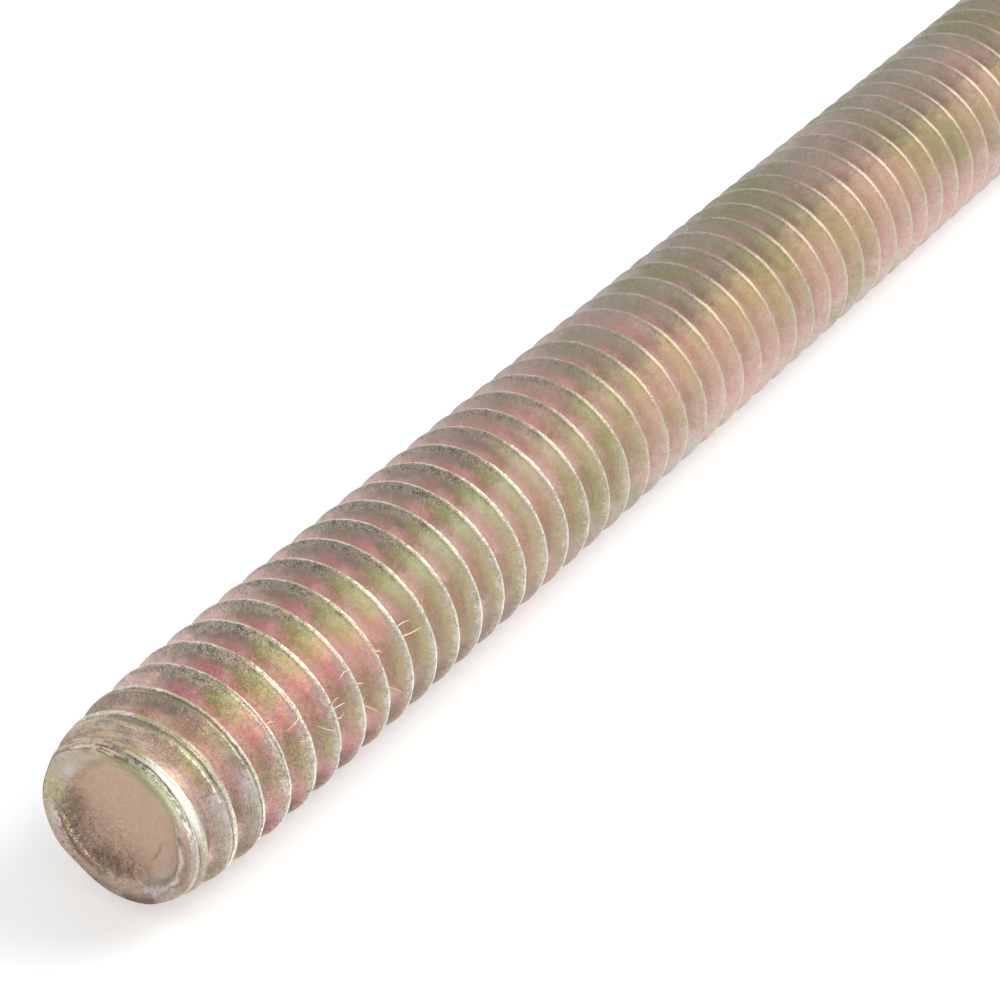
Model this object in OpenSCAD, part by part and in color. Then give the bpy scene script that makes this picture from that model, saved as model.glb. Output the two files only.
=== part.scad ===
// Threaded rod: one piece of steel bar with a rolled right-hand thread from end to end.
// The near end was cropped: its face is dished, its edge is rounded over and its first
// two turns are squeezed down. The far end is a plain sawn and chamfered one.
// Millimetres. The rod lies along X, the middle of its axis at the origin, near end at -X.

/* [Rod] */
// Length over the two end faces
rod_length = 76.2; // [20:0.1:120]
// Diameter over the crests of the thread
major_d = 6.25; // [5:0.05:10]

/* [Thread] */
// Distance from one crest to the next, along the rod
pitch = 1.27; // [1:0.01:1.6]
// Width of the flat on a crest, along the rod
crest_width = 0.19; // [0.08:0.01:0.3]
// Width of the flat at the bottom of the groove, along the rod
root_width = 0.2; // [0.08:0.01:0.3]
// Angle between the two flanks of the groove
flank_angle = 60; // [55:1:75]
// Angle round the rod, from straight up towards -Y, at which a crest meets the near face
start_angle = 0; // [0:5:355]

/* [Near end] */
// How far the thread is squeezed in at the end, measured on its radius
squeeze_depth = 0.375; // [0.05:0.025:0.6]
// Length over which the squeezed turns come back to full size
squeeze_length = 2.8; // [0.5:0.1:6]
// Width of the rounded edge, measured on the radius
edge_width = 0.25; // [0.05:0.025:0.5]
// Length of the rounded edge, along the rod
edge_length = 0.2; // [0.05:0.01:0.4]
// Width of the flat rim between the rounded edge and the dish
rim_width = 0.45; // [0.1:0.05:0.6]
// Width of the dish's sloping wall, measured on the radius
dish_wall_width = 0.5; // [0.1:0.05:0.6]
// Depth of the dish
dish_depth = 0.3; // [0.05:0.01:0.6]

/* [Far end] */
// Width of the 45 degree chamfer
chamfer = 0.6; // [0.1:0.05:1]

/* [Hidden] */
major_r = major_d / 2;
flank_width = (pitch - crest_width - root_width) / 2;
thread_depth = flank_width / tan(flank_angle / 2);
minor_r = major_r - thread_depth;

// Radii at the near end, from the outside in.
edge_r = major_r - squeeze_depth;
face_r = edge_r - edge_width;
dish_r = face_r - rim_width;
floor_r = dish_r - dish_wall_width;

// How far a trimming shape reaches past the surface that it trims.
overshoot = 1;
// Sides of a round trimming shape, and steps in the section of the rounded edge.
round_sides = 96;
edge_steps = 4;

// The thread's surface is a strip of flat facets. It starts and ends one pitch outside
// the rod, so that both of its rough ends are cut away.
triangle_budget = 12200;
turns = ceil(rod_length / pitch) + 2;
facets = 4 * floor(triangle_budget / (8 * turns) / 4);
last_step = facets * turns;

// Radius and place along the rod of the four corners of one thread: the groove's bottom,
// and then the crest, whose middle is at 0.
corners = [
    [minor_r, -crest_width / 2 - flank_width - root_width],
    [minor_r, -crest_width / 2 - flank_width],
    [major_r, -crest_width / 2],
    [major_r, crest_width / 2],
];

// Number of the corner k of the thread at a step round the helix. The fifth corner is
// the first one of the next turn.
function corner(step, k) = k < 4 ? 4 * step + k : 4 * (step + facets);

// A right-hand screw surface round Z, closed at both ends.
module thread() {
    rise = pitch / facets;
    bottom = -pitch;
    helix_points = [
        for (step = [0 : last_step + facets], c = corners)
            let (a = 360 * step / facets)
                [c[0] * cos(a), c[0] * sin(a), bottom + c[1] + rise * step]
    ];
    first_centre = len(helix_points);
    last_centre = first_centre + 1;
    centres = [[0, 0, bottom], [0, 0, bottom + pitch * turns]];
    strips = [
        for (step = [0 : last_step - 1], k = [0 : 3])
            let (a = corner(step, k), b = corner(step, k + 1))
            let (c = corner(step + 1, k + 1), d = corner(step + 1, k))
                each [[a, b, c], [a, c, d]]
    ];
    first_end = [
        for (step = [0 : facets - 1])
            [first_centre, corner(step, 0), corner(step + 1, 0)],
        for (k = [0 : 3])
            [first_centre, corner(0, k + 1), corner(0, k)]
    ];
    last_end = [
        for (step = [last_step : last_step + facets - 1])
            [last_centre, corner(step + 1, 0), corner(step, 0)],
        for (k = [0 : 3])
            [last_centre, corner(last_step, k), corner(last_step, k + 1)]
    ];
    polyhedron(concat(helix_points, centres), concat(strips, first_end, last_end));
}

// The outer shape that the thread is trimmed to, round Z, with the near end at 0.
module blank() {
    outside = major_r + overshoot;
    rounded_edge = [
        for (i = [0 : edge_steps])
            let (a = 90 * i / edge_steps)
                [face_r + edge_width * sin(a), edge_length * (1 - cos(a))]
    ];
    rest = [
        [major_r, squeeze_length],
        [outside, squeeze_length],
        [outside, rod_length - chamfer - overshoot],
        [major_r - chamfer, rod_length],
        [0, rod_length],
    ];
    rotate_extrude($fn = round_sides)
        polygon(concat([[0, 0]], rounded_edge, rest));
}

// The hollow in the near face.
module dish() {
    rotate_extrude($fn = round_sides)
        polygon([
            [0, -overshoot],
            [dish_r, -overshoot],
            [dish_r, 0],
            [floor_r, dish_depth],
            [0, dish_depth],
        ]);
}

module threaded_rod() {
    color("goldenrod")
        rotate([0, 90, 0])
            translate([0, 0, -rod_length / 2])
                difference() {
                    intersection() {
                        rotate(180 + start_angle)
                            thread();
                        blank();
                    }
                    dish();
                }
}

threaded_rod();
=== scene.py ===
# %% [markdown]
# # A short length of yellow zinc plated threaded rod
# The real thing is one piece of steel bar. Its thread is rolled in, not cut: two hardened dies
# squeeze the bar, the metal flows up out of the groove, and two lips of it meet on the crest,
# which is why a cheap rod has a fine seam along each crest. The rod is then cropped to length,
# zinc plated and dipped in a yellow chromate. The chromate is a film thin enough to colour the
# light, so the rod shines rose, coral, olive and gold. This file loads the packed steel part
# as a fixed frame and makes one finely modelled mesh with that finish, in the same place and
# inside the same box.

# %% Load the frame
from math import atan2, cos, exp, inf, pi, radians, sin, sqrt, tan, tau

import bpy
from mathutils import Euler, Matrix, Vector, noise


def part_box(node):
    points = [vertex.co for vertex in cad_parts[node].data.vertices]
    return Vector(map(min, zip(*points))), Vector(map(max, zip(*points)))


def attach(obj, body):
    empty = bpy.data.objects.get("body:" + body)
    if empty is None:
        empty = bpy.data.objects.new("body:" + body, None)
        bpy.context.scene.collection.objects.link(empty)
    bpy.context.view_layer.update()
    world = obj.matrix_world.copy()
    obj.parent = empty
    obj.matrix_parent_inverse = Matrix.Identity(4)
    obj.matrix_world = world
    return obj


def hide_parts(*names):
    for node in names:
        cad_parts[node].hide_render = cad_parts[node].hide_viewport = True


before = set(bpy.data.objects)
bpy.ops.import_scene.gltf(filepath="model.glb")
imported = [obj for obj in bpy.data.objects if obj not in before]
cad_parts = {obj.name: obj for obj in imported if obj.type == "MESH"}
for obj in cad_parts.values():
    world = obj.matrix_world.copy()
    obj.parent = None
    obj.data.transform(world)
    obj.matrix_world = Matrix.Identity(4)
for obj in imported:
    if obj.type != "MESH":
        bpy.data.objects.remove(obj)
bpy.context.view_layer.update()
low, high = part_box("threaded_rod")
MM = 0.001
print("the steel part reaches from", tuple(low), "to", tuple(high))

# %% [markdown]
# ## The sizes
# The rod lies along X. The helpers below work in millimetres, because a thread is easier to
# think about that way. A place on the rod is `x`, measured from the near end face, and
# `around`, the angle round the rod, which is 0 straight up and grows towards -Y. A right-hand
# thread then moves along +X as the angle grows. The first sizes come from the packed part, and
# the thread's own section is the one that the part was built with.

# %% Sizes
near_x = low.x / MM
length = (high.x - low.x) / MM
crest_radius = (high.z - low.z) / 2 / MM
pitch = 1.27
crest_width = 0.19
root_width = 0.2
flank_angle = radians(60)
flank_width = (pitch - crest_width - root_width) / 2
thread_depth = flank_width / tan(flank_angle / 2)
root_radius = crest_radius - thread_depth
print("turns of thread:", round(length / pitch, 1), "depth:", round(thread_depth, 3), "mm")

# %% [markdown]
# ## The camera
# The camera stands close to the near end and looks along the rod, so that the rod runs away to
# the upper right and out of the picture. A long lens from a short way off keeps the far turns
# from shrinking too fast.

# %% Camera
look_down = radians(32.95)
heading = radians(32.44)
before_end, beside, above = 59.5, 50.7, 61.1
camera_data = bpy.data.cameras.new("camera")
camera_data.lens = 125.3
camera_data.sensor_width = 36
camera_data.clip_start = 1 * MM
camera = bpy.data.objects.new("camera", camera_data)
camera.rotation_euler = Euler((pi / 2 - look_down, 0, heading - pi / 2))
camera.location = Vector((near_x - before_end, -beside, above)) * MM
bpy.context.scene.collection.objects.link(camera)
bpy.context.scene.camera = camera
print("camera at", tuple(round(c / MM, 1) for c in camera.location), "mm")

# %% [markdown]
# ## The section of the thread
# A rolled thread has flat flanks at 60 degrees to each other, a groove with a rounded bottom
# and a crest with soft corners. `phase` says where a point is on that section: 0 in the middle
# of a crest, and half a turn, 0.5 or -0.5, at the bottom of a groove. The height is read from a
# short list of corners, which is all that a section this small needs.

# %% Section of the thread
section = [(0, 1), (0.055, 1), (0.085, 0.955), (0.12, 0.87), (0.4, 0.07), (0.45, 0.015), (0.5, 0)]


def between(value, points):
    """The height of a line through the points at this value."""
    for (left, bottom), (right, top) in zip(points, points[1:]):
        if value <= right:
            return bottom + (top - bottom) * (value - left) / (right - left)
    return points[-1][1]


def thread_radius(phase):
    """The radius at a phase, where nothing has squeezed the thread."""
    return root_radius + thread_depth * between(abs(phase), section)


print("radius on the crest, halfway and in the groove:",
      [round(thread_radius(phase), 3) for phase in (0, 0.25, 0.5)])

# %% [markdown]
# ## The cropped end
# The near end was cropped in a press. That left a dish, whose middle is off the axis and whose
# wall is steep on one side and a long slope on the other, a flat spot on the edge, and first
# turns that are squeezed in, so that they are lower and their grooves are partly filled. Each
# of these is a small function of the place, so that every part of the mesh gets its shape from
# the same rules. `round_list` is the building block: a few values round the rod, with smooth
# changes between them. `recovery` is how far along the rod, in millimetres, the squeeze fades.

# %% The cropped end
edge_length = 0.2
dish_depth = 0.28
chamfer = 0.6
recovery = 1.3


def round_list(around, values):
    """The value at an angle, from a list of (degrees, value) that runs from -180 to 180."""
    angle = around / tau * 360
    for (left, first), (right, second) in zip(values, values[1:]):
        if angle <= right:
            t = (angle - left) / (right - left)
            return first + (second - first) * t * t * (3 - 2 * t)
    return values[-1][1]


def roundness(around):
    """1 where the edge is rounded over most, on the upper left, and 0 where it is crisp."""
    return round_list(around, [
        (-180, 0), (-52, 0), (-22, 0.8), (0, 1), (14, 0.5), (34, 0), (180, 0)])


def edge_reach(around):
    """How far along the rod the rounded edge goes."""
    return edge_length * (1 + 2.2 * roundness(around))


def face_radius(around):
    """The radius at which the face turns into the rounded edge."""
    share = round_list(around, [
        (-180, 0.835), (-145, 0.81), (-120, 0.845), (-100, 0.835), (-70, 0.815), (-40, 0.84),
        (0, 0.855), (50, 0.86), (120, 0.855), (150, 0.845), (180, 0.835)])
    share = share - 0.07 * roundness(around)
    return share * crest_radius + 0.02 * noise.noise((3 * cos(around), 3 * sin(around), 0))


def squeezed_radius(x, around):
    """The radius that the crests reach: small at the end, and full after three turns."""
    inner = face_radius(around)
    reach = edge_reach(around)
    start = inner + (0.028 + 0.07 * roundness(around)) * crest_radius
    past_edge = max(x, reach - edge_length) - reach
    radius = crest_radius - (crest_radius - start) * exp(-past_edge / recovery)
    if x >= reach:
        return radius
    return inner + (radius - inner) * sqrt(1 - (1 - x / reach) ** 2)


def floor_radius(around):
    """Where the floor of the dish meets the foot of its wall."""
    return crest_radius * round_list(around, [
        (-180, 0.33), (-140, 0.3), (-95, 0.36), (-50, 0.48), (0, 0.56), (40, 0.6), (85, 0.6),
        (130, 0.67), (150, 0.58), (165, 0.42), (180, 0.33)])


def wall_radius(around):
    """Where the wall of the dish meets the rim."""
    return crest_radius * round_list(around, [
        (-180, 0.56), (-140, 0.62), (-50, 0.62), (-25, 0.7), (0, 0.79), (40, 0.82), (70, 0.8),
        (85, 0.71), (115, 0.745), (150, 0.72), (165, 0.6), (180, 0.56)])


print("edge of the face, and top and foot of the dish's wall, from above:",
      [round(f(0), 2) for f in (face_radius, wall_radius, floor_radius)])

# %% [markdown]
# ## The crests
# Two lips of metal meet on the crest of a rolled thread. On the first turns they are apart,
# with a dark seam between them, and further on only a shallow mark is left. Nothing on a cheap
# rod is quite even, so the crest also wanders a little along the rod, and it has nicks from the
# bin that it was sold from. The wandering moves the points along the rod, and the nicks lower
# them. A nick is given as degrees round the rod, turns along it, and depth, and `seam_reach` is
# how far along the rod, in millimetres, the lips stay apart.

# %% The crests
nicks = [(37, 2.89, 0.1), (76, 9.87, 0.13), (8, 10.1, 0.05), (52, 6.2, 0.05), (102, 5.1, 0.06),
         (342, 4.0, 0.05), (150, 7.4, 0.12), (215, 14.3, 0.1), (80, 21.2, 0.08), (300, 30.4, 0.1),
         (20, 38.3, 0.08), (190, 45.2, 0.12), (100, 52.6, 0.1), (270, 55.1, 0.1)]
nick_degrees = 3
nick_turns = 0.1
seam_reach = 3.4


def half_width(radius):
    """Half the width, in turns, of a crest that is squeezed down to this radius."""
    return 0.075 + (crest_radius - radius) * tan(flank_angle / 2) / pitch


def crest_shape(phase, x, around, squeezed):
    """What the seam and the lips take off a crest."""
    apart = exp(-((x / seam_reach) ** 4))
    across = phase / half_width(squeezed)
    ripple = noise.noise((2 * x, 5 * cos(around), 5 * sin(around)))
    seam = (0.012 + 0.05 * apart * (1 + ripple)) * max(0, 1 - abs(phase - 0.01 * ripple) / 0.03)
    hollow = 0.03 * apart * max(0, 1 - across * across)
    near_lip = (0.02 + 0.012 * ripple) * max(0, 1 - abs(across + 0.25) / 0.75) if across < 0 else 0
    return seam + hollow + (1 - apart) * near_lip


def wander(turn, around):
    """How far a crest strays along the rod."""
    where = Vector((6 * cos(around), 6 * sin(around), 1.7 * turn))
    return 0.022 * noise.noise(where) + 0.02 * noise.noise(3 * where)


def nick_depth(turn, around):
    """How deep the nicks go at a place."""
    depth = 0
    for angle, at, deep in nicks:
        away = ((around / tau * 360 - angle + 180) % 360 - 180) / nick_degrees
        depth += deep * exp(-away * away - ((turn - at) / nick_turns) ** 2)
    return depth


def side_of_rod(x, around):
    """The radius at a place, how high that is on the thread, and where it is across a crest."""
    turn = x / pitch - around / tau
    phase = turn - round(turn)
    squeezed = squeezed_radius(x, around)
    filled = root_radius + 0.1 * crest_radius * exp(-(x / recovery) ** 2)
    radius = min(max(thread_radius(phase), filled), squeezed)
    if abs(phase) < 0.25:
        radius -= crest_shape(phase, x, around, squeezed) + nick_depth(turn, around)
    radius = min(radius, crest_radius - chamfer + length - x)
    top = max(squeezed, squeezed_radius(edge_reach(around), around))
    return radius, (radius - root_radius) / (top - root_radius), phase / half_width(top)


print("radius, height and place across the first crest:",
      [round(value, 3) for value in side_of_rod(0.4, radians(115))])

# %% [markdown]
# ## The net of the rod
# The mesh is a net. Its columns run along the rod, and its rows follow the thread, so that a
# row stays on the crest, or in the groove, from one end of the rod to the other. A grid of
# plain rings would cross the crests at a slant and make them ragged. Each column is a list of
# (turn, point) in order, and `join` sews two neighbouring columns together: with a four-sided
# face where both have the same next row, and with a triangle where one of them is ahead. The
# first turns are seen from closest by, so they get twice the columns and three times the rows.

# %% Points, rings and columns
points = []
faces = []
marks = {"zone": [], "height": [], "across": []}
side_zone = 4
whisker_zone = 5
same_row = 1e-6


def place_of(x, radius, around):
    """The place at a distance along the rod, a radius and an angle round it."""
    return Vector((near_x + x, -radius * sin(around), radius * cos(around)))


def add_place(place, zone=side_zone, height=0, across=0):
    """Adds a point with its marks, turned from millimetres into metres, and returns its number."""
    points.append(place * MM)
    marks["zone"].append(zone)
    marks["height"].append(height)
    marks["across"].append(across)
    return len(points) - 1


def add_point(x, radius, around, *marks):
    return add_place(place_of(x, radius, around), *marks)


def add_side_point(x, around, stray=0, zone=side_zone):
    """Adds a point on the side of the rod, strayed a little along it."""
    radius, height, across = side_of_rod(x, around)
    return add_point(x + stray, radius, around, zone, height, across)


def join(left, right):
    """Sews two columns together with faces."""
    i = j = 0
    while i < len(left) - 1 or j < len(right) - 1:
        next_left = left[i + 1][0] if i < len(left) - 1 else inf
        next_right = right[j + 1][0] if j < len(right) - 1 else inf
        if abs(next_left - next_right) < same_row:
            faces.append((left[i][1], right[j][1], right[j + 1][1], left[i + 1][1]))
            i, j = i + 1, j + 1
        elif next_left < next_right:
            faces.append((left[i][1], right[j][1], left[i + 1][1]))
            i += 1
        else:
            faces.append((left[i][1], right[j][1], right[j + 1][1]))
            j += 1


def join_rings(first, second):
    """Sews two rings of as many points together."""
    for i in range(len(first)):
        faces.append((first[i - 1], first[i], second[i], second[i - 1]))


def rows(steps, turns):
    """Every row of these turns, from its distance to the middle of a crest, in turns."""
    return sorted({
        round(turn + side * step, 4) for turn in turns for step in steps for side in (-1, 1)})


fine_columns = 192
fine_steps = (0, 0.01, 0.02, 0.035, 0.05, 0.065, 0.08, 0.095, 0.11, 0.13, 0.15, 0.17, 0.19, 0.21,
              0.23, 0.26, 0.3, 0.35, 0.4, 0.45, 0.5)
main_steps = (0, 0.03, 0.07, 0.115, 0.26, 0.42, 0.5)
fine_end = 2.5
side_start = 0.05
side_end = length - 0.08
clearance = 0.02
angles = [tau * i / fine_columns - pi for i in range(fine_columns)]
fine_rows = [turn for turn in rows(fine_steps, range(-1, 4)) if turn <= fine_end]
last_turn = round(length / pitch) + 1
main_rows = [turn for turn in rows(main_steps, range(2, last_turn + 1)) if turn > fine_end]


def column(around, rows):
    """The (turn, point) of each row that crosses this column."""
    found = []
    for turn in rows:
        x = pitch * (turn + around / tau)
        if side_start + clearance < x < side_end - clearance:
            stray = wander(turn, around) * min(1, x)
            found.append((turn, add_side_point(x, around, stray)))
    return found


print("rows in a turn:", 2 * len(fine_steps) - 2, "and", 2 * len(main_steps) - 2)
print("columns:", fine_columns)

# %% [markdown]
# The near face is a set of rings from the middle of the dish out to the edge. A ring isn't
# quite round, because the dish and the edge aren't, so each of its points is placed between the
# foot and the top of the dish's wall, or between the wall and the edge, at its own angle.

# %% Rings of the near face
def face_depth(radius, around):
    """How far a point of the near face lies behind the plane of the end."""
    foot, top, edge = floor_radius(around), wall_radius(around), face_radius(around)
    where = Vector((radius * cos(around), radius * sin(around), 0))
    torn = noise.noise(1.5 * where) + 0.6 * noise.noise(4 * where)
    if radius < top:
        t = min(1, (top - radius) / (top - foot))
        slope = t * t * (3 - 2 * t)
        return 0.02 + dish_depth * slope + 0.014 * torn
    t = (radius - top) / (edge - top)
    gutter = 0.07 * max(0, 1 - ((around - radians(112)) / 0.55) ** 2)
    return 0.02 + (gutter + 0.012 + 0.012 * torn) * sin(pi * t) ** 2 - 0.018 * t


def face_ring(place):
    """A ring at 0, the middle, 1 or 2, the foot or the top of the wall, 3, the edge, or between."""
    ring = []
    for around in angles:
        stops = (0, floor_radius(around), wall_radius(around), face_radius(around))
        i = min(int(place), 2)
        radius = stops[i] + (place - i) * (stops[i + 1] - stops[i])
        ring.append(add_point(face_depth(radius, around), radius, around, place))
    return ring


middle = add_point(face_depth(0, 0), 0, 0, 0)
ring_places = (
    0.2, 0.4, 0.6, 0.8, 1, 1.15, 1.3, 1.45, 1.6, 1.75, 1.88, 2, 2.12, 2.3, 2.5, 2.7, 2.88, 3)
rings = [face_ring(place) for place in ring_places]
for i in range(fine_columns):
    faces.append((middle, rings[0][i], rings[0][i - 1]))
for x, zone in ((0.006, 3.2), (0.02, 3.5), (side_start, side_zone)):
    rings.append([add_side_point(x, around, 0, zone) for around in angles])
for first, second in zip(rings, rings[1:]):
    join_rings(first, second)
near_ring = rings[-1]
print("rings on the near face:", len(rings))

# %% [markdown]
# Where the fine columns end, each second one stops. The far end is a plain one: a saw cut and a
# chamfer.

# %% Sides and far end
def far_ring(share):
    """A ring on the far face, at a share of its radius."""
    return [add_point(length, share * (crest_radius - chamfer), around) for around in angles[::2]]


def whole_column(i):
    """The fine part and the main part of a column. Each odd one has no main part."""
    around = angles[i]
    fine = [(side_start / pitch - around / tau, near_ring[i])] + column(around, fine_rows)
    if i % 2:
        return fine, []
    last = (side_end / pitch - around / tau, far_rings[0][i // 2])
    return fine, column(around, main_rows) + [last]


far_places = (side_end, length - 0.02)
far_rings = [[add_side_point(x, around) for around in angles[::2]] for x in far_places]
far_rings += [far_ring(share) for share in (0.99, 0.7, 0.35)]
columns = [whole_column(i) for i in range(fine_columns)]
for i in range(0, fine_columns, 2):
    left_fine, left_main = columns[i]
    middle_fine = columns[i + 1][0]
    right_fine, right_main = columns[(i + 2) % fine_columns]
    if i + 2 == fine_columns:
        right_fine = [(turn - 1, point) for turn, point in right_fine]
        right_main = [(turn - 1, point) for turn, point in right_main]
    right = right_fine + right_main
    last_fine = sum(turn < fine_end + same_row for turn, point in right)
    join(left_fine, middle_fine)
    join(middle_fine, right[:last_fine])
    faces.append((left_fine[-1][1], middle_fine[-1][1], right[last_fine - 1][1]))
    join(left_fine[-1:] + left_main, right[last_fine - 1:])
for first, second in zip(far_rings, far_rings[1:]):
    join_rings(first, second)
last = far_rings[-1]
middle = add_point(length, 0, 0)
for i in range(len(last)):
    faces.append((middle, last[i - 1], last[i]))
print("points:", len(points), "faces:", len(faces))

# %% [markdown]
# ## Whiskers
# The dies tore a few thin slivers of metal loose, and they still hang from the crests near the
# end like hairs. Each one is a closed tube along a curve of three control points, given as
# degrees round the rod, millimetres along it, and radius. The tube tapers to its tip.

# %% Whiskers
whiskers = [
    ((60, 5.3, 3.08), (61, 5.0, 3.22), (62, 4.62, 3.05)),
    ((72, 5.32, 3.08), (74, 5.1, 3.2), (71, 4.92, 3.12)),
    ((58, 7.8, 3.08), (56, 7.55, 3.25), (59, 7.3, 3.15)),
    ((70, 6.58, 3.08), (69, 6.85, 3.27), (71, 7.15, 3.17)),
    ((73, 6.6, 3.08), (79, 6.72, 3.16), (76, 7.02, 3.12)),
    ((69, 6.58, 3.08), (64, 6.7, 3.22), (66, 6.95, 3.2)),
    ((67, 7.84, 3.08), (68, 8.0, 3.22), (70, 8.18, 3.14)),
    ((78, 7.88, 3.06), (79, 7.95, 3.15), (77, 8.08, 3.12)),
    ((60, 9.08, 3.08), (60, 9.2, 3.22), (63, 9.34, 3.16)),
    ((70, 9.12, 3.08), (73, 9.18, 3.2), (74, 9.02, 3.18)),
    ((58, 10.36, 3.08), (57, 10.7, 3.24), (60, 11.0, 3.1)),
    ((64, 10.38, 3.08), (66, 10.9, 3.3), (68, 11.5, 3.05)),
    ((90, 8.45, 2.6), (95, 8.8, 2.9), (104, 9.22, 3.03)),
    ((92, 9.72, 2.6), (97, 10.1, 2.9), (105, 10.48, 3.02)),
    ((84, 6.68, 3.05), (80, 6.3, 3.08), (74, 6.05, 2.8)),
    ((52, 4.0, 3.08), (50, 4.15, 3.2), (53, 4.3, 3.15))]
whisker_steps = 8
whisker_sides = 6
whisker_root = 0.026
whisker_taper = 0.018
on_strip = {}


def add_whisker(number, ends):
    """Adds one closed tube, and notes where its points lie on its strip of the map."""
    first, middle, last = [place_of(x, radius, radians(degrees)) for degrees, x, radius in ends]
    rings = []
    for i in range(whisker_steps + 1):
        t = i / whisker_steps
        centre = first * (1 - t) ** 2 + middle * 2 * t * (1 - t) + last * t * t
        forward = (middle - first) * (1 - t) + (last - middle) * t
        turn = forward.to_track_quat("Z", "Y")
        thick = whisker_root - whisker_taper * t
        rings.append([])
        for side in range(whisker_sides):
            way = Vector((cos(tau * side / whisker_sides), sin(tau * side / whisker_sides), 0))
            point = add_place(centre + turn @ (way * thick), whisker_zone)
            on_strip[point] = (number, i, side)
            rings[-1].append(point)
    tips = [add_place(first, whisker_zone), add_place(last, whisker_zone)]
    on_strip[tips[0]] = (number, -0.5, 3)
    on_strip[tips[1]] = (number, whisker_steps + 0.5, 3)
    for ring, following in zip(rings, rings[1:]):
        join_rings(following, ring)
    for i in range(whisker_sides):
        faces.append((tips[0], rings[0][i - 1], rings[0][i]))
        faces.append((tips[1], rings[-1][i], rings[-1][i - 1]))


for number, ends in enumerate(whiskers):
    add_whisker(number, ends)
print("whiskers:", len(whiskers))

# %% [markdown]
# ## The mesh and its flat map
# The net becomes one mesh, and the marks become attributes of its points, so that the finish
# can ask how high on the thread or how far across a crest it is. The mesh also gets a flat map
# for programs that need the finish as a picture. The rod's side is unrolled like the label of a
# tin and cut in two halves, which fill the picture better than one long strip. The two ends
# are discs beside them, and each whisker has a small strip of its own.

# %% Mesh and flat map
mesh = bpy.data.meshes.new("rod")
mesh.from_pydata(points, [], faces)
mesh.shade_smooth()
for name, values in marks.items():
    mesh.attributes.new(name, "FLOAT", "POINT").data.foreach_set("value", values)
map_size = 46
map_margin = 0.3
upper_half = 20.1
strips_x, strips_y = 39, 14
discs_x, near_disc_y, far_disc_y = 41.9, 3.3, 9.9


def same_turn(values, whole):
    """Moves the values that are on the other side of a seam to this one."""
    top = max(values)
    return [value + whole if top - value > whole / 2 else value for value in values]


def flat_corners(face):
    """Where the corners of a face lie on the map, in millimetres."""
    places = [points[i] / MM - Vector((near_x, 0, 0)) for i in face]
    zones = [marks["zone"][i] for i in face]
    if min(zones) == whisker_zone:
        strips = [on_strip[i] for i in face]
        sides = same_turn([side for number, step, side in strips], whisker_sides)
        return [(strips_x + 0.6 * step, strips_y + number + 0.1 * side)
                for (number, step, _), side in zip(strips, sides)]
    on_near_face = min(zones) < side_zone
    if on_near_face or min(place.x for place in places) > side_end - same_row:
        middle = near_disc_y if on_near_face else far_disc_y
        return [(discs_x + place.y, middle + place.z) for place in places]
    turns = same_turn([atan2(-place.y, place.z) / tau for place in places], 1)
    half = sum(place.x for place in places) / len(places) > length / 2
    return [(map_margin + place.x - half * length / 2,
             map_margin + upper_half * half + (turn + 0.5) * tau * crest_radius)
            for place, turn in zip(places, turns)]


flat_map = mesh.uv_layers.new(name="OFBake")
for polygon in mesh.polygons:
    for loop, corner in zip(polygon.loop_indices, flat_corners(polygon.vertices)):
        flat_map.uv[loop].vector = Vector(corner) / map_size
rod = bpy.data.objects.new("rod", mesh)
bpy.context.scene.collection.objects.link(rod)
print("triangles in the rod:", sum(len(face.vertices) - 2 for face in mesh.polygons))

# %% [markdown]
# ## Wires
# A finish in Blender is a net of nodes. Written out node by node, even a short formula is a
# page of code, so this small class wraps one output of a node, and sums on it add the Math
# nodes that they need. Every other node comes from `node`, which takes the node's type, the
# values or wires of its inputs, and its settings. `rise` and `hump` are the two masks that this
# finish is made of: a smooth step and a smooth bump.

# %% Wires
class Wire:
    def __init__(self, tree, socket=None):
        self.tree = tree
        self.socket = socket

    def node(self, kind, inputs=None, output=0, stops=(), **settings):
        """Adds a node: its settings first, and then what goes into it."""
        node = self.tree.nodes.new("ShaderNode" + kind)
        for name, value in settings.items():
            setattr(node, name, value)
        for i, (position, colour) in enumerate(stops):
            elements = node.color_ramp.elements
            element = elements[i] if i < 2 else elements.new(position)
            element.position = position
            element.color = colour
        for name, value in (inputs or {}).items():
            if isinstance(value, Wire):
                self.tree.links.new(value.socket, node.inputs[name])
            else:
                node.inputs[name].default_value = value
        return Wire(self.tree, node.outputs[output])

    def math(self, operation, *values):
        values = (self, *values) if self.socket else values
        return self.node("Math", dict(enumerate(values)), operation=operation)

    def __add__(self, other):
        return self.math("ADD", other)

    def __sub__(self, other):
        return self.math("SUBTRACT", other)

    def __rsub__(self, other):
        return Wire(self.tree).math("SUBTRACT", other, self)

    def __mul__(self, other):
        return self.math("MULTIPLY", other)

    def __truediv__(self, other):
        return self.math("DIVIDE", other)

    def rise(self, start, end, top=1):
        """0 before start and top past end, with a smooth step between them."""
        inputs = {"Value": self, "From Min": start, "From Max": end, "To Max": top}
        return self.node("MapRange", inputs, interpolation_type="SMOOTHSTEP")

    def hump(self, middle, width):
        """1 at the middle, and 0 from one width away."""
        return (self - middle).math("ABSOLUTE").rise(width, 0)

    def mix(self, first, second):
        """The first colour where this mask is 0, and the second where it is 1."""
        return self.node("Mix", {0: self, 6: first, 7: second}, output=2, data_type="RGBA")

    __radd__ = __add__
    __rmul__ = __mul__


print("a wire can:", [name for name in vars(Wire) if not name.startswith("_")])

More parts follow.
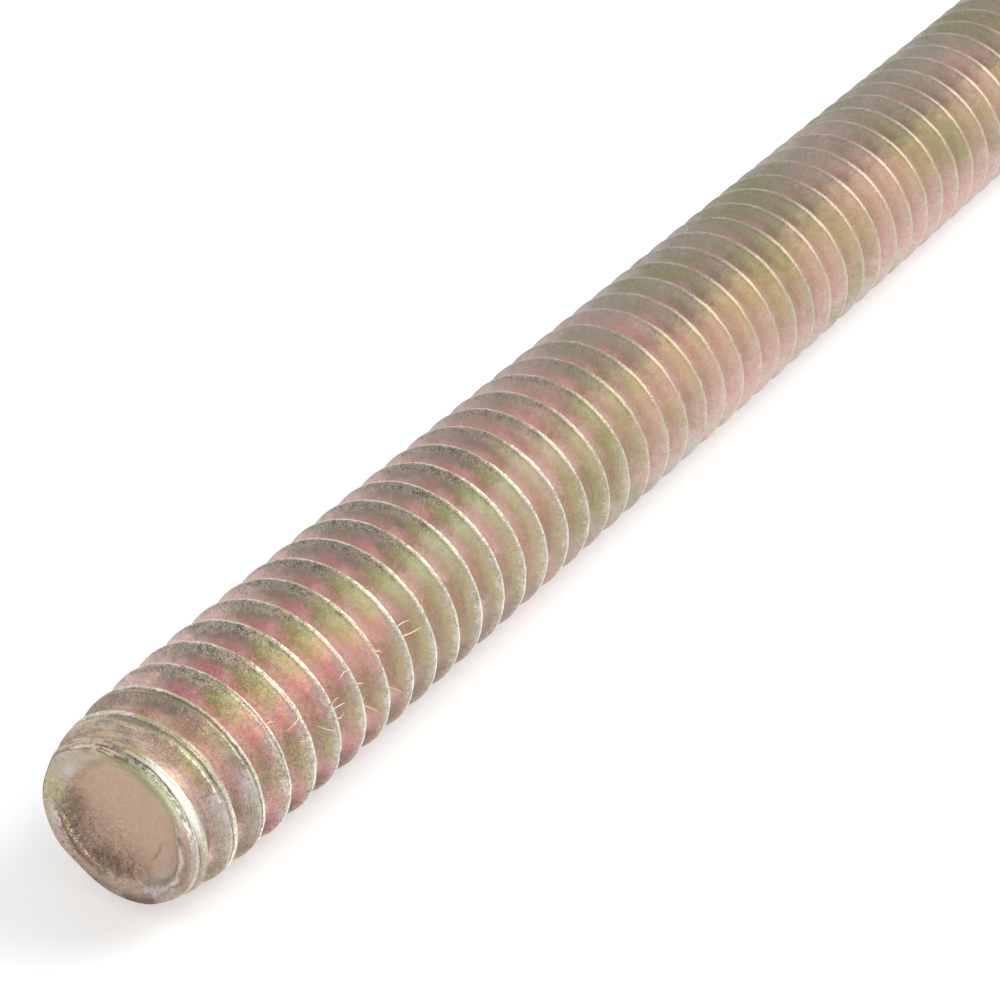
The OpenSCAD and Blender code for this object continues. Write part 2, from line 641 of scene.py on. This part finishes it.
# %% [markdown]
# ## Places on the rod
# The finish is painted by place. `x`, `radius` and `angle` are worked out from the object's own
# coordinates, so a colour stays where it is when the rod is turned or moved. The marks of the
# mesh are read as attributes: `zone` goes from 0 in the middle of the near face to 3 at its
# edge, is 4 on the side of the rod and 5 on a whisker, `height` goes from 0 in the groove to 1
# on a crest, and `across` from -1 to 1 over the width of a crest.

# %% Places
finish = bpy.data.materials.new("yellow_zinc")
finish.use_nodes = True
here = Wire(finish.node_tree)
place = here.node("TexCoord", output="Object")
x = here.node("SeparateXYZ", {0: place}) / MM - near_x
y = here.node("SeparateXYZ", {0: place}, output="Y") / MM
z = here.node("SeparateXYZ", {0: place}, output="Z") / MM
radius = (y * y + z * z).math("SQRT")
angle = here.math("ARCTAN2", y * -1, z) / radians(1)
turn = x / pitch - angle / 360
zone, height, across = [here.node("Attribute", output="Fac", attribute_name=name) for name in marks]
print("marks that the finish reads:", list(marks))

# %% [markdown]
# ## Clouds
# Plating is never even. `cloud` makes soft noise of a given size: big blotches where the
# chromate ran thick and thin, small patches, and the grain and grit of the zinc crystals. The
# streaks are noise stretched round the rod, the way that the dies dragged the metal. The
# `_shift` of each is the same noise about zero, which pushes a border to and fro and makes it
# ragged. `drift` is the angle round the rod with a ragged error in it, so that whatever is laid
# round the rod by `drift` has borders that run and fade raggedly.

# %% Clouds
def cloud(size, detail=2, rough=0.6, offset=0):
    """Soft random blotches of a size in millimetres, from 0 to 1 and mostly about a half."""
    scale = 1 / (size * MM)
    inputs = {"Vector": place, "W": offset, "Scale": scale, "Detail": detail, "Roughness": rough}
    return here.node("TexNoise", inputs, noise_dimensions="4D")


along = here.node("CombineXYZ", {0: x * 9, 1: radius * 9, 2: y / radius * 3})
streaks = here.node("TexNoise", {"Vector": along, "W": z / radius * 3, "Scale": 1, "Detail": 3},
                    noise_dimensions="4D")
blotch = cloud(0.9, 3)
patch = cloud(0.35, 3, offset=5)
mottle = cloud(0.15, 2, 0.7, 9)
grain = cloud(0.07, 2, 0.7, 3)
grit = cloud(0.04, 1, 0.6, 7)
blotch_shift = blotch - 0.5
patch_shift = patch - 0.5
mottle_shift = mottle - 0.5
grain_shift = grain - 0.5
grit_shift = grit - 0.5
salt = grit + 0.3 * grain
pool = cloud(4, 2, offset=13) + 0.2 * patch_shift
drift = angle + 46 * (cloud(2.2, 3, offset=11) - 0.5) + 40 * patch_shift + 26 * grain_shift
print("nodes so far:", len(finish.node_tree.nodes))

# %% [markdown]
# Two helpers lay things round the rod. `laid_round` is a colour ramp bent round it. Its ramps
# lay the film's colours round the rod, and with them painted light and shade: some sides of the
# rod painted lighter and some darker. `facing` is a mask for one side of the rod. It compares
# two directions, because an angle jumps from 180 to -180 at the bottom of the rod and a
# direction doesn't.

# %% Helpers round the rod
def share_of_turn(angle):
    """An angle as a share of a whole turn, from 0 at -180 degrees to 1 at 180."""
    return angle / 360 + 0.5


def direction(angle):
    """An angle in degrees as a direction, a flat vector."""
    turned = angle * radians(1)
    return here.node("CombineXYZ", {0: turned.math("COSINE"), 1: turned.math("SINE")})


drift_share = share_of_turn(drift)
drift_way = direction(drift)
plain_way = direction(angle)


def laid_round(stops, share=drift_share):
    """Colours laid round the rod, each with its angle in degrees."""
    stops = [(share_of_turn(at), colour) for at, colour in stops]
    return here.node("ValToRGB", {"Fac": share}, stops=stops)


def facing(at, width, way=drift_way, top=1):
    """The top value where the rod faces this angle, and 0 from one width away."""
    towards = (cos(radians(at)), sin(radians(at)), 0)
    likeness = here.node(
        "VectorMath", {0: way, 1: towards}, output="Value", operation="DOT_PRODUCT")
    return likeness.rise(cos(radians(width)), cos(radians(width / 4)), top)


print("45 degrees is at", share_of_turn(45), "and like straight up by", round(cos(radians(45)), 2))

# %% [markdown]
# ## Paints
# Yellow chromate is a rainbow of thin-film colours over bright zinc: pale blush and rose, salmon,
# moss and straw, and grey-browns where it is thin. They are mixed here once, under plain names,
# in everyday numbers. A shader adds light up, so `paint` turns each number into an amount of
# light first.

# %% Paints
def paint(red, green, blue):
    """A colour in everyday numbers, 0 to 255, turned into the ones that light adds up in."""
    return tuple(((c / 255 + 0.055) / 1.055) ** 2.4 for c in (red, green, blue)) + (1,)


petal = paint(228, 196, 188)
blush = paint(206, 176, 168)
rose = paint(226, 180, 178)
pink = paint(224, 158, 160)
salmon = paint(230, 178, 160)
berry = paint(206, 130, 142)
plum = paint(200, 156, 154)
mauve = paint(186, 150, 148)
ember = paint(222, 128, 104)
biscuit = paint(226, 204, 178)
clay = paint(196, 162, 142)
buff = paint(198, 176, 138)
sand = paint(188, 168, 148)
dusk = paint(178, 152, 138)
camel = paint(188, 160, 138)
fawn = paint(166, 138, 120)
cocoa = paint(160, 124, 114)
bark = paint(120, 100, 84)
gold = paint(228, 190, 120)
glint = paint(255, 236, 170)
hair = paint(232, 212, 184)
straw = paint(202, 194, 148)
khaki = paint(184, 174, 136)
sage = paint(186, 188, 150)
fern = paint(182, 190, 112)
moss = paint(150, 152, 104)
olive = paint(104, 108, 84)
mint = paint(216, 220, 188)
white = paint(252, 250, 240)
cream = paint(240, 232, 214)
silver = paint(206, 198, 188)
lilac = paint(198, 186, 190)
haze = paint(178, 168, 154)
taupe = paint(166, 148, 134)
smoke = paint(158, 145, 128)
ash = paint(146, 134, 120)
stone = paint(132, 124, 110)
soot = paint(72, 64, 58)
print("gold in amounts of light:", [round(c, 2) for c in gold[:3]])

# %% [markdown]
# ## The flanks
# Each flank has one set of colours low down, by the groove, and another higher up, with a ragged
# border between them. The first turns and the far turns have their own sets. Each set is the
# film's colours round the rod together with painted light and shade, which make the flanks
# lighter on some sides and darker on others. Beyond the near part, pools of rose and moss as big
# as three turns take over.

# %% Flanks
# painted light and shade: besides the film's colours, these ramps paint some sides of the rod
# lighter and some darker
deep = laid_round([
    (-180, mauve), (-140, rose), (-100, clay), (-60, petal), (-35, petal), (-20, blush),
    (-5, plum), (10, rose), (25, clay), (40, petal), (55, petal), (70, clay), (97, dusk),
    (114, petal), (132, cocoa), (150, clay), (180, mauve)])
side = laid_round([
    (-180, khaki), (-130, straw), (-90, haze), (-50, petal), (-35, petal), (-20, taupe),
    (-5, taupe), (10, smoke), (22, moss), (36, straw), (48, salmon), (58, plum), (70, dusk),
    (88, khaki), (110, plum), (130, cocoa), (150, sage), (180, khaki)])
mid_side = laid_round([
    (-180, sand), (-130, khaki), (-90, haze), (-50, petal), (-35, blush), (-20, taupe),
    (-5, taupe), (10, ash), (24, moss), (40, sage), (55, khaki), (70, khaki), (90, khaki),
    (115, taupe), (150, haze), (180, sand)])
end_deep = laid_round([
    (-180, sand), (-60, sand), (-35, clay), (-20, petal), (-5, clay), (10, petal), (25, sand),
    (40, petal), (55, petal), (70, blush), (97, dusk), (114, petal), (132, cocoa), (180, sand)])
end_side = laid_round([
    (-180, sand), (-60, taupe), (-35, taupe), (-22, sand), (-8, smoke), (10, ash), (26, dusk),
    (42, khaki), (62, taupe), (76, lilac), (90, haze), (115, taupe), (140, khaki), (180, sand)])
far_side = laid_round([
    (-180, khaki), (-100, haze), (-45, silver), (-25, haze), (-8, haze), (10, taupe), (24, smoke),
    (42, buff), (60, buff), (78, sand), (100, blush), (118, silver), (150, haze), (180, khaki)])
first_turns = turn.rise(2.6, 1.9)
later_turns = 1 - first_turns
mid_turns = x.rise(8, 12)
far_turns = x.rise(15, 29)
deep = first_turns.mix(x.rise(20, 34, 0.55).mix(deep, far_side), end_deep)
side = first_turns.mix(far_turns.mix(mid_turns.mix(side, mid_side), far_side), end_side)
ragged = height + 0.7 * blotch_shift + 0.3 * (streaks - 0.5) + 0.5 * grain_shift
colour = ragged.rise(0.24, 0.68).mix(deep, side)
away = x.rise(12, 22).math("MAXIMUM", facing(-140, 90))
colour = (away * pool.rise(0.5, 0.62, 0.35)).mix(colour, rose)
colour = (away * pool.rise(0.5, 0.38, 0.5) * ragged.rise(0.2, 0.6)).mix(colour, moss)
print("nodes so far:", len(finish.node_tree.nodes))

# %% [markdown]
# On top of that come a few spots of stronger colour that run along the rod. Each line of the
# list has a paint, the angle it faces and how wide it is, its lower and upper end on the flank,
# and its strength. Past 14 mm they fade out. A glitter of green crystals, painted bright as
# glints, lies over the moss one, and a line of ember colour lies low in the groove, where the
# film is thickest.

# %% Spots of colour
side_spots = (
    (berry, -3, 16, 0.05, 0.6, 1.0), (pink, 56, 20, 0.1, 0.8, 0.8), (pink, 110, 20, 0.1, 0.8, 0.6),
    (moss, 26, 18, 0.4, 1.0, 1.0), (straw, 38, 12, 0.1, 0.8, 1.0), (moss, 78, 14, 0.1, 0.7, 0.6))
spotted = later_turns * x.rise(14, 7) * patch
for spot, at, width, low_end, high_end, strength in side_spots:
    middle = (low_end + high_end) / 2
    reach_up = (high_end - low_end) / 2
    spread = facing(at, width, top=strength) * ragged.hump(middle, reach_up)
    colour = (spread * spotted).mix(colour, spot)
near_part = x.rise(12, 8)
# painted glints: bright green flecks of crystals over the moss spot
glitter_glints = facing(30, 20) * ragged.hump(0.65, 0.3) * (grit + mottle).rise(1.0, 1.2) * near_part
colour = (glitter_glints * (0.5 - 0.3 * first_turns)).mix(colour, fern)
fringe = (height + 0.3 * mottle_shift + 0.3 * grit_shift).rise(0.2, 0.06) * facing(40, 44)
colour = (fringe * near_part * (0.3 - 0.2 * first_turns)).mix(colour, ember)
print("spots on the flanks:", len(side_spots))

# %% [markdown]
# ## The shoulders
# Just below each crest the rolled metal is torn into a grey, sugary crust with black pits, wide
# on two sides of the rod and narrow between them. `crust` is where it lies, the sugar is its
# pale crystals painted bright as glints, and `pits` are its holes.

# %% Shoulders
left_side = facing(-5, 48)
right_side = facing(92, 50)
crust = height + 0.5 * patch_shift + 0.5 * mottle_shift + 0.3 * grain_shift + 0.15 * left_side
crust = crust.rise(0.8, 0.98) * (left_side.math("MAXIMUM", right_side) * 0.75 + 0.25)
crust = crust * (1 - 0.8 * first_turns) * (1 - 0.8 * far_turns)
crust_paint = laid_round([
    (-180, haze), (-5, haze), (15, sand), (30, khaki), (45, haze), (80, haze), (96, silver),
    (108, haze), (125, sand), (145, haze), (180, haze)])
shaded = x.rise(7, 10, 0.5) * facing(18, 46)
colour = (crust * 0.85).mix(colour, shaded.mix(crust_paint, stone))
# painted glints: the crust's pale crystals painted bright
sugar_glints = crust * (1 - 0.6 * shaded) * (grit + 0.6 * grain + 0.08 * right_side).rise(0.86, 0.96, 0.6)
colour = sugar_glints.mix(colour, silver)
pits = grit + 0.7 * mottle + 0.7 * patch + 0.4 * blotch_shift - 0.06 * left_side
colour = (crust * pits.rise(1.12, 1.0, 0.62)).mix(colour, soot)
print("nodes so far:", len(finish.node_tree.nodes))

# %% [markdown]
# ## The crests
# A crest has a near part, the plateau, and a lip on its far side, painted bright: its own paler
# colour with a painted highlight over it. On the first turns the two lips of metal are apart, so
# there is a dark seam between them and a painted highlight in dashes on the near one. The first
# groove was smeared shut in the press, on the upper left: there the metal is drawn out in
# streaks, and a gold hem shows where the film is thickest.

# %% Crests
apart = x.rise(5.2, 3)
smear = facing(-16, 42, plain_way) * x.rise(1.6, 0.8)
colour = (smear * 0.75).mix(colour, (streaks + 0.3 * grain).rise(0.5, 0.8).mix(smoke, biscuit))
hem = facing(44, 50, plain_way, 0.8) * (turn + 0.1 * mottle_shift).hump(0.25, 0.12)
colour = hem.mix(colour, gold)
crest = height.rise(0.9, 0.97)
plateau_paint = laid_round([
    (-180, sand), (-35, silver), (-14, haze), (6, stone), (16, moss), (64, moss), (80, haze),
    (112, cream), (140, haze), (180, sand)])
colour = (crest * across.hump(-0.35, 0.8) * apart * 0.8).mix(colour, plateau_paint)
# painted highlight: the far lip is painted cream and white where the highlight falls, over its own
# paler colour
lip_and_highlight_paint = laid_round([
    (-180, haze), (-60, silver), (-35, cream), (-5, cream), (10, straw), (25, sand), (40, silver),
    (60, cream), (76, mint), (90, cream), (114, white), (140, haze), (180, haze)])
first_lip_and_highlight_paint = laid_round([
    (-180, haze), (-60, haze), (-35, sand), (-5, khaki), (12, mint), (26, white), (60, white),
    (74, mint), (100, sand), (140, haze), (180, haze)])
flecked = (mottle + 0.4 * grain).rise(0.6, 0.8).mix(haze, cream)
lip_and_highlight_paint = (x.rise(3, 6, 0.8) * facing(46, 34)).mix(lip_and_highlight_paint, flecked)
lip_and_highlight_paint = (x.rise(1.9, 1.6, 0.6) * facing(50, 36)).mix(lip_and_highlight_paint, khaki)
lip_and_highlight_paint = x.rise(1.1, 0.7).mix(lip_and_highlight_paint, first_lip_and_highlight_paint)
lip_and_highlight = crest * (across - 0.3 * apart + 1.1 * mottle_shift).rise(-0.15, 0.2, 0.9)
colour = lip_and_highlight.mix(colour, (far_turns * (0.5 + 0.5 * facing(36, 40))).mix(lip_and_highlight_paint, smoke))
split = crest * apart
# painted highlight: a dashed pale line on the near lip
highlight_dashes = split * across.hump(-0.9, 0.3) * (patch + 0.5 * grain).rise(0.7, 0.84) * facing(56, 34)
colour = highlight_dashes.mix(colour, cream)
seam = split * across.hump(0.1, 0.24) * facing(60, 75, top=0.75) * x.rise(0.3, 0.5)
colour = seam.mix(colour, soot)
print("nodes so far:", len(finish.node_tree.nodes))

# %% [markdown]
# The press folded the very first crest over the edge of the face. Its outer part is a broad
# white lip that is widest on the right, pale metal under a painted highlight. Its inner part is a
# green one with white flecks, and a dark line lies between them.

# %% Folded lip
edge = x + 0.03 * mottle_shift + 0.03 * patch_shift
folded = facing(44, 46, plain_way)
inner_paint = (mottle + 0.5 * patch).rise(0.66, 0.86).mix(sage, white)
inner_paint = facing(10, 26, plain_way, 0.7).mix(inner_paint, olive)
colour = (folded * edge.rise(0.19, 0.17, 0.9)).mix(colour, inner_paint)
# painted highlight: the outer lip is painted white and mint over its pale metal
lip_width = (edge - 0.15 * facing(62, 40, plain_way)).rise(0.31, 0.26)
white_lip_highlight = folded * edge.rise(0.17, 0.2) * lip_width
colour = white_lip_highlight.mix(colour, facing(62, 46, plain_way).mix(mint, white))
colour = (folded * edge.hump(0.18, 0.04) * 0.8).mix(colour, soot)
off_lip_highlight = 1 - white_lip_highlight
print("nodes so far:", len(finish.node_tree.nodes))

# %% [markdown]
# ## The near face
# The dish's floor is a smooth tan, with painted shade that darkens it towards its lower side,
# and its rim is a patchwork of dulled and bright metal. Each line of the list is one patch: a
# paint, the angle it faces and how wide it is, its radius and how far it reaches in and out, and
# its strength. Noise in the angle and in the radius makes every border ragged.

# %% Near face
face_patches = (
    (bark, -140, 80, 1.7, 0.65, 0.75), (bark, -100, 36, 1.6, 0.6, 0.8),
    (bark, -168, 36, 1.6, 0.6, 0.9), (bark, -130, 46, 2.08, 0.14, 0.9),
    (sage, 40, 46, 2.45, 0.6, 0.9), (fern, 54, 22, 2.35, 0.3, 0.45),
    (mint, 52, 26, 2.62, 0.2, 0.9), (plum, 68, 12, 2.34, 0.25, 0.9),
    (silver, 76, 8, 2.2, 0.2, 1.2), (soot, 82, 6, 2.3, 0.16, 0.9),
    (silver, 112, 38, 2.3, 0.09, 0.9), (soot, 118, 34, 2.45, 0.1, 0.4),
    (lilac, 150, 9, 2.25, 0.22, 1.2), (soot, 154, 8, 2.3, 0.12, 0.6),
    (bark, 163, 20, 2.55, 0.25, 1.3), (camel, 177, 20, 2.05, 0.4, 0.9),
    (stone, -163, 14, 2.5, 0.2, 0.9), (moss, -138, 14, 2.45, 0.2, 0.5),
    (bark, -133, 16, 2.15, 0.14, 0.9), (plum, -125, 12, 2.4, 0.2, 0.6),
    (silver, -104, 10, 2.3, 0.2, 0.8), (moss, -84, 12, 2.3, 0.25, 0.45),
    (lilac, -51, 14, 2.0, 0.25, 0.8), (biscuit, -20, 24, 2.65, 0.3, 0.5),
    (moss, 12, 24, 2.4, 0.3, 0.7), (soot, 120, 24, 1.45, 0.1, 0.35))
on_face = zone.rise(3.7, 3.2)
off_face = 1 - on_face
face_angle = angle + 24 * patch_shift + 20 * mottle_shift
face_way = direction(face_angle)
reach = radius + 0.4 * patch_shift + 0.3 * mottle_shift + 0.15 * grit_shift
# painted shade: the dish's floor is painted darker towards its lower side
shade_way = 0.64 * y - 0.77 * z
face = laid_round([
    (-180, taupe), (-140, dusk), (-110, haze), (-80, khaki), (-50, haze), (-20, sand), (0, khaki),
    (30, moss), (60, khaki), (76, dusk), (110, dusk), (140, haze), (160, dusk), (180, taupe)],
    share_of_turn(face_angle))
shaded_floor_paint = (shade_way + 0.8 * patch_shift).rise(-0.3, 1.6).mix(camel, fawn)
face = (reach + facing(-133, 70, top=0.4)).rise(2.05, 1.6).mix(face, shaded_floor_paint)
for spot, at, width, middle, reach_out, strength in face_patches:
    face = (facing(at, width, face_way, strength) * reach.hump(middle, reach_out)).mix(face, spot)
dirt = reach.rise(1.9, 2.3, 0.45) * (mottle + grit).rise(0.9, 0.76)
face = dirt.mix(face, bark)
print("patches on the near face:", len(face_patches))

# %% [markdown]
# The lower wall of the dish is dark and fibrous, because the press dragged the metal there, so
# it gets pale and dark strands that run down the slope, and a line of painted gold glints at its
# foot. The upper rim is streaked dark. The far end is a plain saw cut, marked by turned rings.

# %% Torn wall, rim and far end
wall = facing(-140, 96) * radius.hump(1.6, 0.9)
strand_way = here.node("CombineXYZ", {0: radius * 7, 1: y / radius * 16, 2: z / radius * 16})
strands = here.node("TexNoise", {"Vector": strand_way, "Scale": 1, "Detail": 3, "Distortion": 0.7})
strands = strands + 0.6 * grit_shift
face = (wall * strands.rise(0.54, 0.72, 0.4)).mix(face, clay)
face = (wall * (strands + 0.5 * mottle + 0.3 * grain).rise(0.88, 0.7, 0.5)).mix(face, soot)
# painted glints: gold flecks along the foot of the wall
painted_glints = facing(-136, 46) * (radius + 0.25 * patch_shift).hump(1.92, 0.16)
face = (painted_glints * (0.7 * mottle + grit).rise(0.9, 0.98)).mix(face, glint)
colour = on_face.mix(colour, face)
dark_rim_streaks = facing(0, 26) * reach.hump(2.5, 0.45) * x.rise(0.36, 0.2) * off_lip_highlight
colour = (dark_rim_streaks * (streaks + 0.6 * mottle).rise(0.86, 0.7, 0.55)).mix(colour, soot)
turned = here.node("TexNoise", {"W": radius, "Scale": 9, "Detail": 3}, noise_dimensions="1D")
sawn = (pool + 0.3 * blotch_shift).rise(0.4, 0.6).mix(haze, straw)
sawn = turned.rise(0.4, 0.7).mix(sawn, silver)
colour = x.rise(length - 0.75, length - 0.6).mix(colour, sawn)
colour = zone.rise(4.2, 4.8).mix(colour, hair)
print("nodes so far:", len(finish.node_tree.nodes))

# %% [markdown]
# ## Grain and shine
# Zinc plate is a metal, but a soft-looking one: its crystals scatter the light. So black specks
# and painted glints, gold and pale sparkles, go over the near turns, and the grain goes into how
# bright the colour is, most of all on the near turns and on the torn wall of the dish. `lit` and
# `shade` are painted light and painted shade: broad soft changes of brightness in the groove on
# some sides of the rod. The smeared first groove is painted a little lighter as well.

# %% Grain
speckled = facing(-8, 44).math("MAXIMUM", 0.3) * height.rise(0.4, 0.8) * x.rise(13, 9) * off_face
specks = speckled * off_lip_highlight * (grain + 0.35 * blotch_shift).rise(0.58, 0.66)
colour = (specks * 0.5).mix(colour, soot)
# painted glints: gold and pale flecks over the near turns
painted_sparkles = facing(42, 38) * height.rise(0.95, 0.3) * x.rise(13, 8) * off_face
colour = (painted_sparkles * salt.rise(0.74, 0.82, 0.55)).mix(colour, gold)
colour = (painted_sparkles * salt.rise(0.56, 0.48, 0.5)).mix(colour, petal)
grainy = 0.42 * grain + 0.16 * streaks + 0.36 * mottle + 0.56 * grit - 0.75
rough_part = x.rise(9, 4.5, 1.3) * (1 - on_face * (1 - facing(-140, 100))) * off_lip_highlight
# painted light and shade: lit lightens the groove on two sides, shade darkens one side, and the
# smeared groove is lightened
lit = (height - facing(-15, 40, plain_way, 0.3)).rise(0.4, 0.05) * facing(5, 75, plain_way, 0.2)
lit = lit + facing(114, 16, plain_way, 0.36) * height.rise(0.6, 0.05) * x.rise(13, 7)
shade = facing(132, 24, plain_way, 0.24) * height.hump(0.55, 0.6) * x.rise(20, 12)
tone = 1 + grainy * (0.9 + rough_part - 0.4 * white_lip_highlight) + (lit - shade + 0.2 * smear) * off_face
tint = 0.44 + 0.06 * patch + 0.06 * mottle
colour = here.node(
    "HueSaturation", {"Hue": tint, "Saturation": 0.7 + 0.6 * grit, "Value": tone, "Color": colour})
print("nodes so far:", len(finish.node_tree.nodes))

# %% [markdown]
# The surface is mostly metallic and fairly rough, rougher still where the grain is coarse,
# and a bump map a few hundredths of a millimetre deep breaks up its highlights.

# %% Shine
metal_share = 0.6
bump_depth = 0.03
shader = finish.node_tree.nodes["Principled BSDF"]
finish.node_tree.links.new(colour.socket, shader.inputs["Base Color"])
finish.node_tree.links.new((0.32 + 0.25 * grain + 0.2 * specks).socket, shader.inputs["Roughness"])
shader.inputs["Metallic"].default_value = metal_share
relief = grain + 0.5 * streaks + 0.5 * mottle
bump_map = here.node("Bump", {"Height": relief, "Distance": bump_depth * MM, "Strength": 0.7})
finish.node_tree.links.new(bump_map.socket, shader.inputs["Normal"])
mesh.materials.append(finish)
print("nodes in the finish:", len(finish.node_tree.nodes))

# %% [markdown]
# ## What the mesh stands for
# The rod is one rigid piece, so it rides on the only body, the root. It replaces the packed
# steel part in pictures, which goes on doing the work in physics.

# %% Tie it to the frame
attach(rod, "root")
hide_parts("threaded_rod")
print("the rod rides on the root and stands for threaded_rod")

# %% [markdown]
# ## Studio
# Plated metal shows what is around it. A white world gives the even light of a cloth tent, one
# large soft lamp from the upper right draws the thin highlights on the crests, and a small one
# from the front lifts the near face and the flanks that look that way.

# %% Lamps
world = bpy.data.worlds.new("tent")
bpy.context.scene.world = world
world.use_nodes = True
background = world.node_tree.nodes["Background"]
background.inputs["Color"].default_value = (1, 1, 1, 1)
background.inputs["Strength"].default_value = 0.62


def soft_lamp(name, way, distance, size, watts):
    """A square lamp in a direction from the middle of the rod, aimed at it."""
    way = Vector(way).normalized()
    data = bpy.data.lights.new(name, "AREA")
    data.size = size
    data.energy = watts
    lamp = bpy.data.objects.new(name, data)
    lamp.location = way * distance
    lamp.rotation_euler = (-way).to_track_quat("-Z", "Y").to_euler()
    bpy.context.scene.collection.objects.link(lamp)
    print(name, "at", [round(c, 2) for c in lamp.location], "m")


soft_lamp("key", (0.6, -0.5, 0.7), 0.6, 0.4, 2.5)
soft_lamp("fill", (-0.93, -0.15, 0.35), 0.8, 0.3, 1)

# %% [markdown]
# The floor is a plain pale sheet just under the rod. It glows a little, as backlit paper does,
# which keeps it white and the shadow faint.

# %% Floor
floor_mesh = bpy.data.meshes.new("floor")
level = low.z - 0.02 * MM
half_side = 2
corners = [(i * half_side, j * half_side, level) for i, j in ((-1, -1), (1, -1), (1, 1), (-1, 1))]
floor_mesh.from_pydata(corners, [], [(0, 1, 2, 3)])
floor = bpy.data.objects.new("floor", floor_mesh)
bpy.context.scene.collection.objects.link(floor)
paper = bpy.data.materials.new("pale_paper")
paper.use_nodes = True
paper_shader = paper.node_tree.nodes["Principled BSDF"]
paper_shader.inputs["Base Color"].default_value = (0.8, 0.8, 0.8, 1)
paper_shader.inputs["Emission Color"].default_value = (1, 1, 1, 1)
paper_shader.inputs["Emission Strength"].default_value = 0.35
paper_shader.inputs["Roughness"].default_value = 1
floor_mesh.materials.append(paper)
bpy.context.scene.view_settings.view_transform = "Standard"
print("floor", round((low.z - level) / MM, 3), "mm below the rod")
